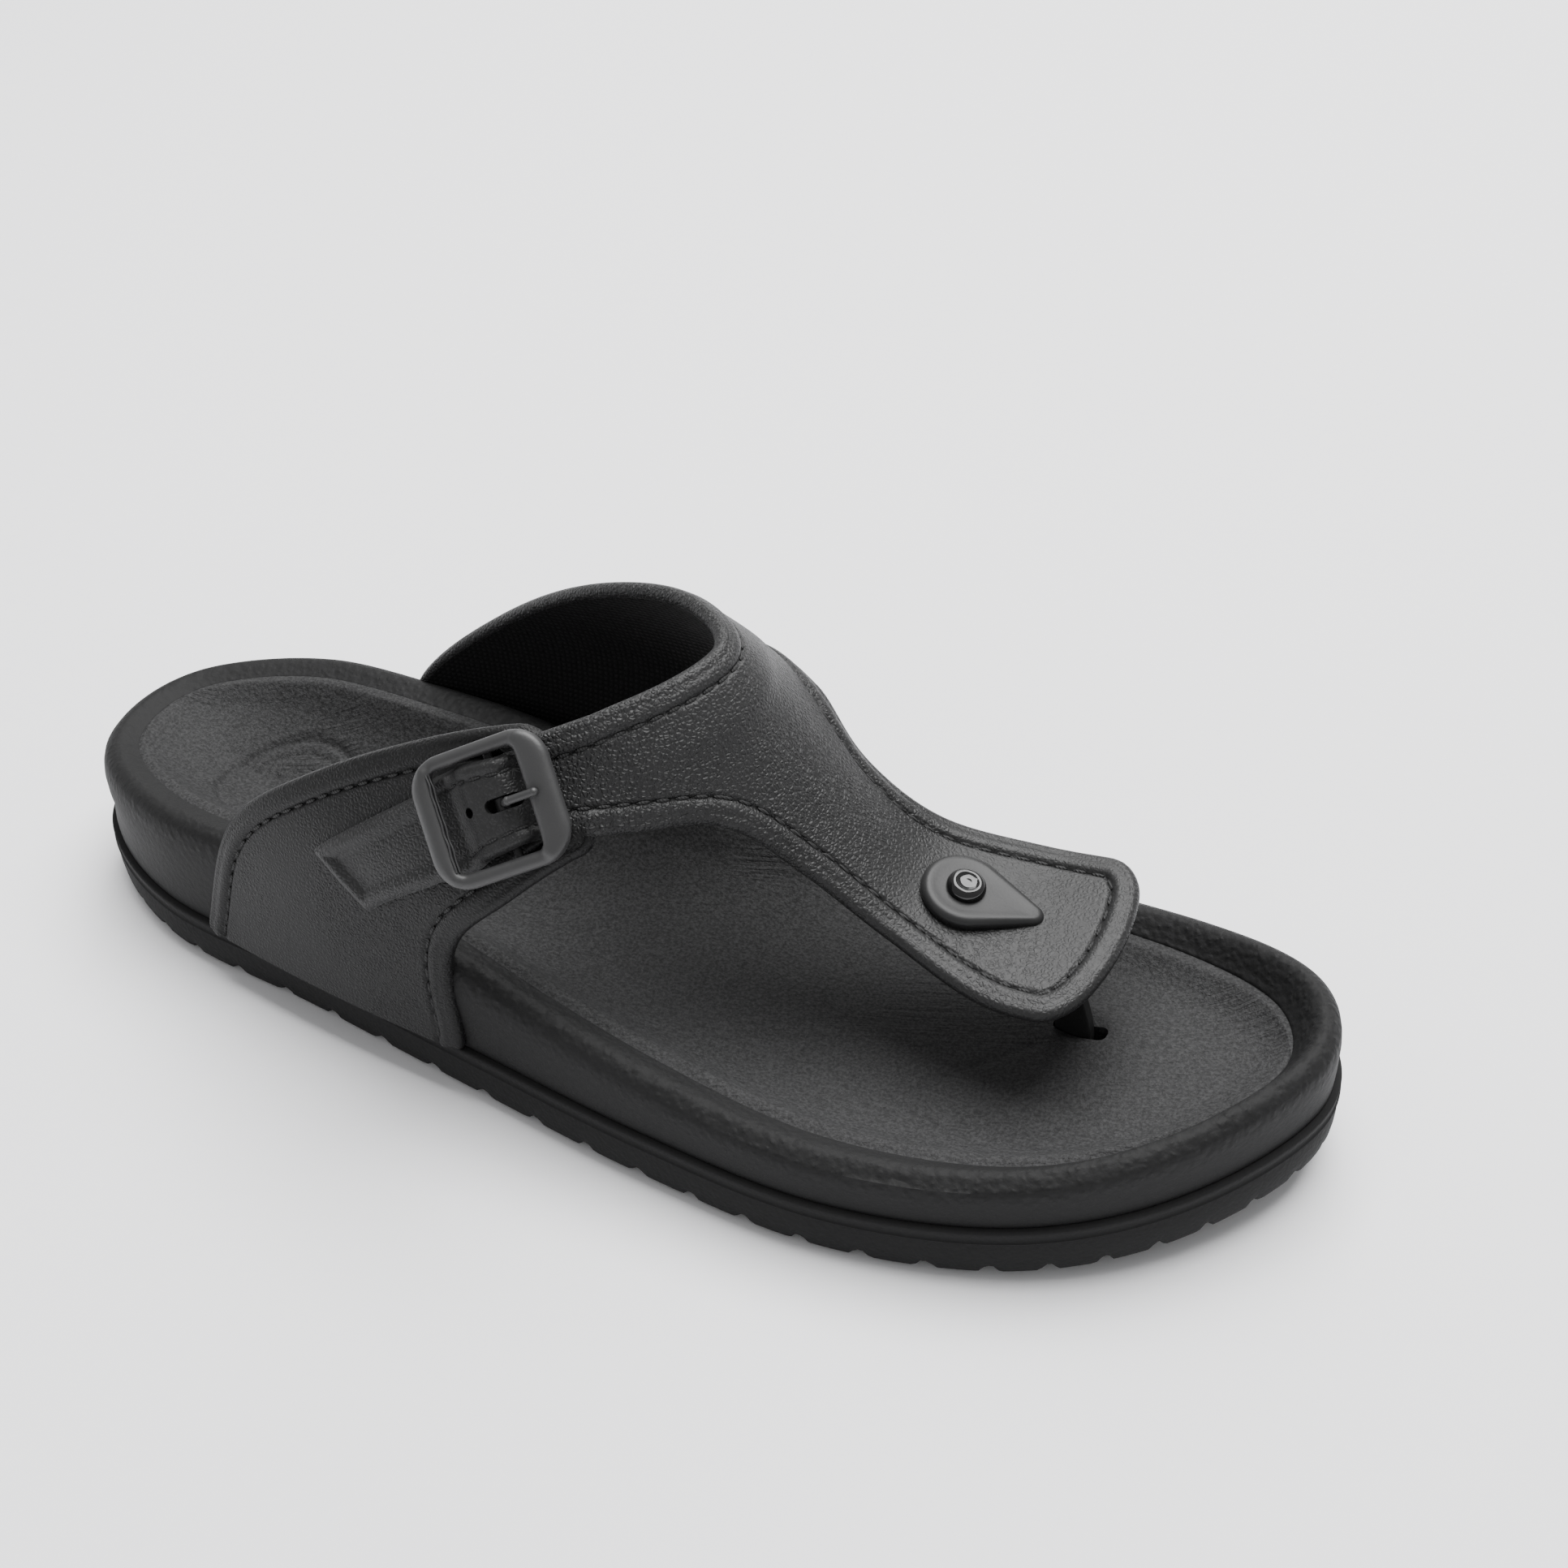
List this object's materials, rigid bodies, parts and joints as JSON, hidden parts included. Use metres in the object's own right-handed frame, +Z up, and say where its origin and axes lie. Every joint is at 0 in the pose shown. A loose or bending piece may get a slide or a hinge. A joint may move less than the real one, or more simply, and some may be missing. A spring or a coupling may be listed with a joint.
{
  "type": "flip flop",
  "caption": "Black thong sandal for the right foot: contoured footbed in a raised-rim foam sole, wide strap over the instep with a side buckle, and a toe post under a riveted tab.",
  "frame": {"origin": "on the ground below the middle of the sole's length, on the tread's flat face", "axes": "+X from the heel to the toe, +Y towards the inner side of the foot, +Z up"},
  "size_m": [0.2701, 0.0949, 0.0869],
  "materials": {
    "outsole_rubber": "matte moulded",
    "moulded_foam": "matte with a fine leather-like grain",
    "footbed_foam": "matte and speckled like suede",
    "strap_skin": "satin with a fine pebbled grain",
    "strap_lining": "woven",
    "post_rubber": "smooth satin",
    "plate_plastic": "satin",
    "stud_gloss": "high gloss",
    "buckle_plastic": "satin",
    "hidden_metal": "brushed"
  },
  "bodies": {
    "sandal": {"outsole": "outsole_rubber", "midsole": "moulded_foam", "footbed": "footbed_foam", "quarter": "strap_skin", "quarter_lining": "strap_lining", "quarter_piping": "strap_skin", "upper_strap": "strap_skin", "upper_lining": "strap_lining", "upper_piping": "strap_skin", "tongue_piping": "strap_skin", "strap_end": "strap_skin", "toe_post": "post_rubber", "post_anchor": "post_rubber", "drop_plate": "plate_plastic", "stud": "stud_gloss", "stud_back": "hidden_metal", "bar_loops": "strap_skin"},
    "buckle": {"buckle_frame": "buckle_plastic", "buckle_bar": "hidden_metal"},
    "prong": {"buckle_prong": "buckle_plastic"}
  },
  "joints": [
    {"name": "buckle_tilt", "type": "hinge", "parent": "sandal", "child": "buckle", "pos_m": [-0.00967, -0.03315, 0.06799], "axis": [0.5388, -0.4025, -0.7401], "range_deg": [-1.5, 1.5]},
    {"name": "prong_lift", "type": "hinge", "parent": "buckle", "child": "prong", "pos_m": [-0.00967, -0.03315, 0.06799], "axis": [0.5388, -0.4025, -0.7401], "range_deg": [0, 38]}
  ]
}
